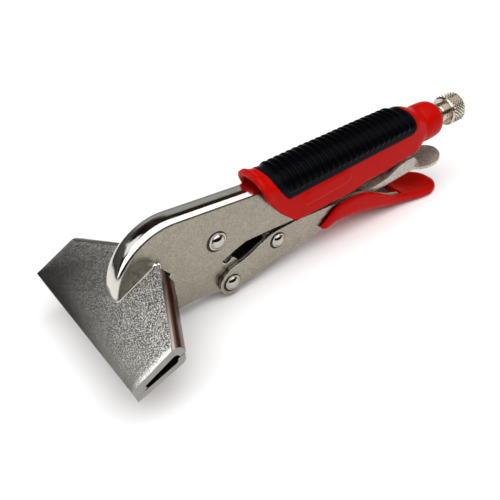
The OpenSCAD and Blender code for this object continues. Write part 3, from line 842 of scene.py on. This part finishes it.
def upper_grip():
    nu = 190
    n_side, n_bot = 64, 13
    verts = []
    rows = 0
    tail = [(119.5, 9.05), (121.3, 9.05), (123.1, 8.98), (124.7, 8.82), (125.8, 8.6), (126.8, 8.2), (127.7, 7.65), (128.4, 6.9), (128.85, 6.1), (129.0, 5.4)]
    cols = []
    for i in range(nu):
        u = i / (nu - 1)
        u = u ** 1.05
        ring = []
        # half section by fraction, near side (-y) from the bottom lip to the top
        half = []
        for j in range(n_side + 1):
            f = j / n_side
            x = 20 + u * 99
            for _ in range(4):
                s = side_len(x) * f
                y, z, nm = section_point(x, s)
                xf = front_x(z)
                x = xf + u * (118.5 - xf)
            h = pill(x, z) if f > 0.3 else 0.0
            d = in_inlay(x, z)
            h -= 0.55 * smoothstep(0.05, 0.45, d)
            # the front lip stands a little proud of the wall behind it
            lip = x - front_x(z)
            h += 0.22 * (1 - smoothstep(0.8, 3.2, lip)) - 0.12 * (1 - smoothstep(0.0, 0.7, lip))
            half.append((x, y + h * nm[0], z + h * nm[1]))
        # bottom corner and lip
        xb, yb, zb = half[-1]
        hw = grip_hw(xb)
        for k in range(1, n_bot + 1):
            a = math.pi / 2 * min(1.0, k / 5)
            if k <= 5:
                half.append((xb, yb - 1.5 * (1 - math.cos(a)), zb - 1.5 * math.sin(a)))
            else:
                t = (k - 5) / (n_bot - 5)
                y_in = 5.55 * (1 - smoothstep(105.5, 109.5, xb))
                half.append((xb, (yb - 1.5) + (y_in - (yb - 1.5)) * t, zb - 1.5))
        ring = [(x, -y, z) for x, y, z in half[::-1]] + half[1:]
        out = []
        for x, y, z in ring:
            t = smoothstep(108.5, 117.0, x)
            if t > 0:
                rr, ang = math.hypot(y, z - 4.6), math.atan2(z - 4.6, y)
                rad = rr + (collar(x) - rr) * t
                y, z = rad * math.cos(ang), 4.6 + rad * math.sin(ang)
            out.append((x, y, z))
        cols.append(out)
    m = len(cols[0])
    # close the bottom and turn the section round at the rear
    last = cols[-1]
    for i, (x, r) in enumerate(tail):
        k = min(1.0, (i + 1) / 2)
        ring = []
        for q in last:
            y, z = q[1], q[2] - 4.6
            ang = math.atan2(z, y)
            ring.append((x, r * math.cos(ang), 4.6 - 0.25 * smoothstep(121, 130, x) + r * math.sin(ang)))
        cols.append(ring)
    verts = [p for c in cols for p in c]
    faces = grid_faces(len(cols), m)
    ob = mesh_obj("grip_upper_shell", verts, faces, 60)
    md = ob.modifiers.new("wall", "SOLIDIFY")
    md.thickness = 0.0025
    md.offset = -1
    md.use_rim = True
    md.use_even_offset = False
    bevel(ob, 0.7, 3, 60)
    apply_mods(ob)
    shade(ob, 40)
    return finish_piece(ob, M_red, "upper_frame", "red_grip", "upper_grip")


upper_grip()


def lip():
    """The rolled bead along the sleeve's front edge."""
    path = []
    n = 90
    for j in range(n + 1):
        f = -1 + 2 * j / n
        x = 24.0
        for _ in range(6):
            y, z, nm = section_point(x, side_len(x) * f)
            x = front_x(z)
        k = 1.0 - 0.35 * smoothstep(0.75, 1.0, abs(f))
        path.append((Vector((x + 1.25, y - nm[0] * 1.2, z - nm[1] * 1.2)), 1.5 * k))
    m = 16
    verts = []
    for i, (p, r) in enumerate(path):
        q = (path[min(i + 1, n)][0] - path[max(i - 1, 0)][0]).normalized()
        u = q.cross(Vector((1, 0, 0.2))).normalized()
        w = q.cross(u)
        for j in range(m):
            t = 2 * math.pi * j / m
            verts.append(tuple(p + (u * math.cos(t) + w * math.sin(t)) * r))
    faces = grid_faces(n + 1, m, wrap=True)
    faces.append(tuple(range(m)))
    faces.append(tuple(n * m + j for j in range(m)))
    return finish_piece(mesh_obj("grip_upper_lip", verts, faces, 60), M_red, "upper_frame", "red_grip")


lip()


def inlay():
    nu, nv = 420, 84
    verts, band = [], []
    pitch, x_first, count = 3.25, 33.6, 22
    for i in range(nu):
        u = i / (nu - 1)
        for j in range(nv + 1):
            f = -1 + 2 * j / nv
            x = 25 + u * 80
            for _ in range(5):
                smax = (grip_hw(x) - GC) + GC * math.pi / 2 + (grip_top(x) - GC - inlay_low(x))
                s = smax * f
                y, z, nm = section_point(x, s)
                x = inlay_front(z) + u * (inlay_rear(z) - inlay_front(z))
            e = min((x - inlay_front(z)), (inlay_rear(z) - x), smax * (1 - abs(f)))
            edge = smoothstep(-0.05, 0.5, e)
            h = -0.5 + 0.70 * edge
            # ribs: rounded bars that end in the smooth border band
            rel = (x - x_first - 1.1 * (abs(f) ** 3)) / pitch
            k = round(rel)
            dx = abs(rel - k) * pitch
            zb = inlay_low(x) + 3.0
            end = smoothstep(0.0, 1.2, z - zb) * smoothstep(0.2, 1.6, inlay_rear(z) - x - 1.0) * smoothstep(0.2, 1.6, x - inlay_front(z) - 2.4)
            ribz = 0
            if 0 <= k < count:
                ribz = (1 - smoothstep(0.70, 1.25, dx)) * (1 - 0.25 * (dx / 0.9) ** 2 if dx < 0.9 else 0.75)
            h += 1.0 * ribz * end * edge
            groove = (1 - end)
            band.append(groove)
            verts.append((x, y + h * nm[0], z + h * nm[1]))
    m = nv + 1
    faces = grid_faces(nu, m)
    me = bpy.data.meshes.new("grip_upper_inlay")
    me.from_pydata([row(v) for v in verts], [], faces)
    at = me.attributes.new("band", "FLOAT", "POINT")
    at.data.foreach_set("value", np.array(band, dtype=np.float32))
    ob = bpy.data.objects.new("grip_upper_inlay", me)
    bpy.context.scene.collection.objects.link(ob)
    bm = bmesh.new()
    bm.from_mesh(me)
    bmesh.ops.recalc_face_normals(bm, faces=bm.faces)
    if sum(f.normal.z for f in bm.faces) < 0:
        bmesh.ops.reverse_faces(bm, faces=bm.faces)
    # a skirt, so the insert is a closed solid
    bm.to_mesh(me)
    bm.free()
    md = ob.modifiers.new("wall", "SOLIDIFY")
    md.thickness = 0.0006
    md.offset = -1
    apply_mods(ob)
    shade(ob, 60)
    return finish_piece(ob, M_black, "upper_frame", "black_inlay", "upper_grip_inlay")


inlay()


# ---- lower grip ------------------------------------------------------------

low_top = lerp_table([(53.4, -19.6), (56, -17.9), (60, -14.8), (62, -13.4), (64.1, -12.6), (66.5, -12.2), (70.2, -12.1), (75, -12.3), (78.4, -12.8), (81, -13.6), (84, -14.8), (89.8, -18.1), (94, -20.8), (97.3, -22.8),
                      (100.5, -24.4), (104.6, -25.8), (110, -27.0), (116, -28.0), (122, -28.9), (128, -29.8), (130.4, -30.3), (131.2, -30.9)])
low_bot = lerp_table([(53.4, -20.4), (54.6, -21.6), (56.6, -22.3), (61.8, -22.1), (66, -22.3), (70.6, -22.9), (76, -23.9), (83.4, -25.8), (90, -27.6), (96.8, -29.5), (104, -30.9), (110.8, -32.1), (117, -32.7), (121.5, -32.88),
                      (127.5, -32.88), (129.4, -32.5), (130.6, -31.9), (131.2, -31.1)])
low_w = lerp_table([(53.4, 7.0), (55, 7.5), (57, 7.85), (60, 7.95), (104, 7.95), (107, 8.1), (110, 8.5), (113, 9.05), (117, 9.7), (121, 10.1), (131.2, 10.1)])


def lower_grip():
    n, m = 150, 60
    verts = []
    for i in range(n):
        u = i / (n - 1)
        x = 53.45 + (131.15 - 53.45) * (u - 0.035 * math.sin(2 * math.pi * u) / 2)
        w = low_w(x)
        if x > 121:
            w *= math.sqrt(max(0.02, 1 - ((x - 121) / 10.2) ** 2))
        zt, zb = low_top(x), low_bot(x)
        h = max(0.3, (zt - zb) / 2)
        zc = (zt + zb) / 2
        rt = min(h * 0.95, 1.3, w * 0.9)
        rb = min(h * 0.95, 4.2 - 1.6 * smoothstep(100, 116, x), w * 0.9)
        half = []
        for k in range(11):
            t = math.pi / 2 * k / 10
            half.append((w - rb + rb * math.sin(t), zb + rb - rb * math.cos(t)))
        for k in range(1, 6):
            half.append((w, zb + rb + (zt - rt - zb - rb) * k / 6))
        for k in range(11):
            t = math.pi / 2 * k / 10
            half.append((w - rt + rt * math.cos(t), zt - rt + rt * math.sin(t)))
        # a shallow dish in the tail's top
        dish = 0.55 * smoothstep(104, 112, x) * (1 - smoothstep(122, 129, x))
        mid = [((w - rt) * (1 - k / 4), zt - dish * (1 - ((1 - k / 4)) ** 2)) for k in range(1, 5)]
        ring = [(0.0, zb)] + half + mid
        loop = ring + [(-y, z) for y, z in ring[-2:0:-1]]
        verts += [(x, y, z) for y, z in loop]
        m = len(loop)
    faces = grid_faces(n, m, wrap=True)
    faces.append(tuple(range(m))[::-1])
    faces.append(tuple((n - 1) * m + k for k in range(m)))
    ob = mesh_obj("grip_lower_shell", verts, faces, 60)
    poly = [(40, 0), (40, -24.0), (47.9, -22.6), (54.4, -21.4), (60, -20.4), (70, -20.9), (83, -23.8), (97, -27.6), (103.6, -29.0), (104.6, -28.7), (105.2, -27.8), (106.4, -22.0), (106.4, 0)]
    cv, cf = [], []
    for y in (-5.72, 5.72):
        cv += [(x, y, z) for x, z in poly]
    k = len(poly)
    cf = [tuple(range(k)), tuple(range(k, 2 * k))[::-1]] + [(j, (j + 1) % k, k + (j + 1) % k, k + j) for j in range(k)]
    cut = mesh_obj("grip_lower_room", cv, cf, 30)
    pinm = lathe("grip_lower_pin", [(-6.8, 3.2), (6.8, 3.2)], (76, 0, -17.1), (0, 1, 0), 40)
    for c in (cut, pinm):
        b = ob.modifiers.new("cut", "BOOLEAN")
        b.operation = "DIFFERENCE"
        b.object = c
        b.solver = "EXACT"
    rm = ob.modifiers.new("remesh", "REMESH")
    rm.mode = "VOXEL"
    rm.voxel_size = 0.0004
    sm = ob.modifiers.new("smooth", "SMOOTH")
    sm.factor = 0.5
    sm.iterations = 5
    bpy.context.view_layer.update()
    apply_mods(ob)
    bpy.data.objects.remove(cut)
    bpy.data.objects.remove(pinm)
    for p in ob.data.polygons:
        p.use_smooth = True
    return finish_piece(ob, M_red, "handle", "red_grip", "lower_grip")


lower_grip()


# ---- camera, floor, light -------------------------------------------------

def camera():
    a, e, ro = math.radians(-33.762), math.radians(39.742), math.radians(-4.53)
    f, tx, ty, d = 708.087, -16.118, 6.064, 284.941
    b = np.array([math.sin(a) * math.cos(e), -math.cos(a) * math.cos(e), math.sin(e)])
    r0 = np.array([math.cos(a), math.sin(a), 0.0])
    u0 = np.cross(b, r0)
    r = r0 * math.cos(ro) + u0 * math.sin(ro)
    u = -r0 * math.sin(ro) + u0 * math.cos(ro)
    pos = np.linalg.solve(np.stack([r, u, b]), np.array([-tx, -ty, d]))
    cam = bpy.data.cameras.new("camera")
    cam.sensor_width = 36
    cam.lens = 36 * f / 500
    cam.clip_start = 0.01
    cam.clip_end = 20
    ob = bpy.data.objects.new("camera", cam)
    bpy.context.scene.collection.objects.link(ob)
    m = Matrix.Identity(4)
    p = row(pos)
    for k in range(3):
        m[k][0], m[k][1], m[k][2], m[k][3] = r[k], u[k], b[k], p[k]
    ob.matrix_world = m
    bpy.context.scene.camera = ob


camera()


def floor():
    me = bpy.data.meshes.new("floor")
    s = 4.0
    me.from_pydata([(-s, -s, 0), (s, -s, 0), (s, s, 0), (-s, s, 0)], [], [(0, 1, 2, 3)])
    ob = bpy.data.objects.new("floor", me)
    ob.location.z = -0.0003
    bpy.context.scene.collection.objects.link(ob)
    t = Mat("floor_paper")
    t.link(t.ramp(t.noise(0.02, 2.0, 0.5), [(0.3, (0.93, 0.93, 0.93)), (0.7, (0.95, 0.95, 0.95))]), t.b.inputs["Base Color"])
    t.set(Roughness=0.9, Specular_IOR_Level=0.1)
    me.materials.append(t.m)


floor()


def area(name, direction, dist, size, power, colour=(1, 1, 1), target=(0.0, 0.0, 0.035), size_y=None):
    li = bpy.data.lights.new(name, "AREA")
    li.shape = "RECTANGLE" if size_y else "SQUARE"
    li.size = size
    if size_y:
        li.size_y = size_y
    li.energy = power
    li.color = colour
    ob = bpy.data.objects.new(name, li)
    dv = Vector(direction).normalized()
    ob.location = Vector(target) + dv * dist
    ob.rotation_euler = dv.to_track_quat("Z", "Y").to_euler()
    bpy.context.scene.collection.objects.link(ob)
    return ob


back = area("softbox_back", (1, 0, 0), 0.1, 0.17, 0.115)
fill = area("ceiling_fill", (0.1, -0.25, 1.0), 1.1, 1.5, 2.2)
fill.visible_glossy = False
fill.visible_camera = False


def aim(ob, place, target):
    """Puts a light at a point of the drawing, in mm, facing another."""
    p, t = row(place), row(target)
    ob.location = p
    ob.rotation_euler = (p - t).to_track_quat("Z", "Y").to_euler()


aim(back, (-215, 150, 240), (-50, -10, -5))


def world():
    w = bpy.data.worlds.new("studio")
    w.use_nodes = True
    nt = w.node_tree
    nt.nodes.clear()
    out = nt.nodes.new("ShaderNodeOutputWorld")
    bg = nt.nodes.new("ShaderNodeBackground")
    nt.links.new(bg.outputs[0], out.inputs[0])
    tc = nt.nodes.new("ShaderNodeTexCoord")
    sep = nt.nodes.new("ShaderNodeSeparateXYZ")
    nt.links.new(tc.outputs["Generated"], sep.inputs[0])
    # the angle round the tool's length: 0 behind it at the horizon, 90 overhead, 180 in front
    at = nt.nodes.new("ShaderNodeMath")
    at.operation = "ARCTAN2"
    nt.links.new(sep.outputs["Z"], at.inputs[0])
    nt.links.new(sep.outputs["Y"], at.inputs[1])
    mp = nt.nodes.new("ShaderNodeMapRange")
    mp.inputs["From Min"].default_value = 0
    mp.inputs["From Max"].default_value = math.pi
    nt.links.new(at.outputs[0], mp.inputs["Value"])
    r = nt.nodes.new("ShaderNodeValToRGB")
    stops = [(0, 0.05), (12, 0.14), (28, 0.20), (35, 0.21), (40, (0.008, 0.005, 0.004)), (56, (0.013, 0.007, 0.004)), (70, (0.008, 0.004, 0.003)), (75, 1.0), (134, 1.0), (142, 0.006), (170, 0.004), (180, 0.02)]
    el = r.color_ramp.elements
    while len(el) < len(stops):
        el.new(0.5)
    for e2, (p, c) in zip(el, stops):
        e2.position = p / 180
        e2.color = (c, c, c, 1) if isinstance(c, (int, float)) else tuple(c) + (1,)
    nt.links.new(mp.outputs[0], r.inputs[0])
    # the rear grey wall is darker towards the blades' end
    xm = nt.nodes.new("ShaderNodeMapRange")
    xm.interpolation_type = "SMOOTHSTEP"
    for k, v in (("From Min", -0.28), ("From Max", 0.15), ("To Min", 0.22), ("To Max", 1.0)):
        xm.inputs[k].default_value = v
    nt.links.new(sep.outputs["X"], xm.inputs["Value"])
    pm = nt.nodes.new("ShaderNodeMapRange")
    for k, v in (("From Min", 0.92), ("From Max", 1.2), ("To Min", 0.0), ("To Max", 1.0)):
        pm.inputs[k].default_value = v
    nt.links.new(at.outputs[0], pm.inputs["Value"])
    mxx = nt.nodes.new("ShaderNodeMath")
    mxx.operation = "MAXIMUM"
    nt.links.new(xm.outputs[0], mxx.inputs[0])
    nt.links.new(pm.outputs[0], mxx.inputs[1])
    mul = nt.nodes.new("ShaderNodeMix")
    mul.data_type = "RGBA"
    mul.blend_type = "MULTIPLY"
    mul.inputs[0].default_value = 1.0
    nt.links.new(r.outputs[0], mul.inputs[6])
    nt.links.new(mxx.outputs[0], mul.inputs[7])
    # a brown wall far along behind the handles
    wall = nt.nodes.new("ShaderNodeMapRange")
    wall.interpolation_type = "SMOOTHSTEP"
    for k, v in (("From Min", 0.58), ("From Max", 0.68), ("To Min", 0.0), ("To Max", 0.9)):
        wall.inputs[k].default_value = v
    nt.links.new(sep.outputs["X"], wall.inputs["Value"])
    mw = nt.nodes.new("ShaderNodeMix")
    mw.data_type = "RGBA"
    mw.inputs[7].default_value = (0.06, 0.022, 0.010, 1)
    nt.links.new(wall.outputs[0], mw.inputs[0])
    nt.links.new(mul.outputs[2], mw.inputs[6])
    nt.links.new(mw.outputs[2], bg.inputs["Color"])
    bg.inputs["Strength"].default_value = 2.35
    bpy.context.scene.world = w


world()
bpy.context.scene.view_settings.view_transform = "Standard"
bpy.context.scene.view_settings.look = "None"
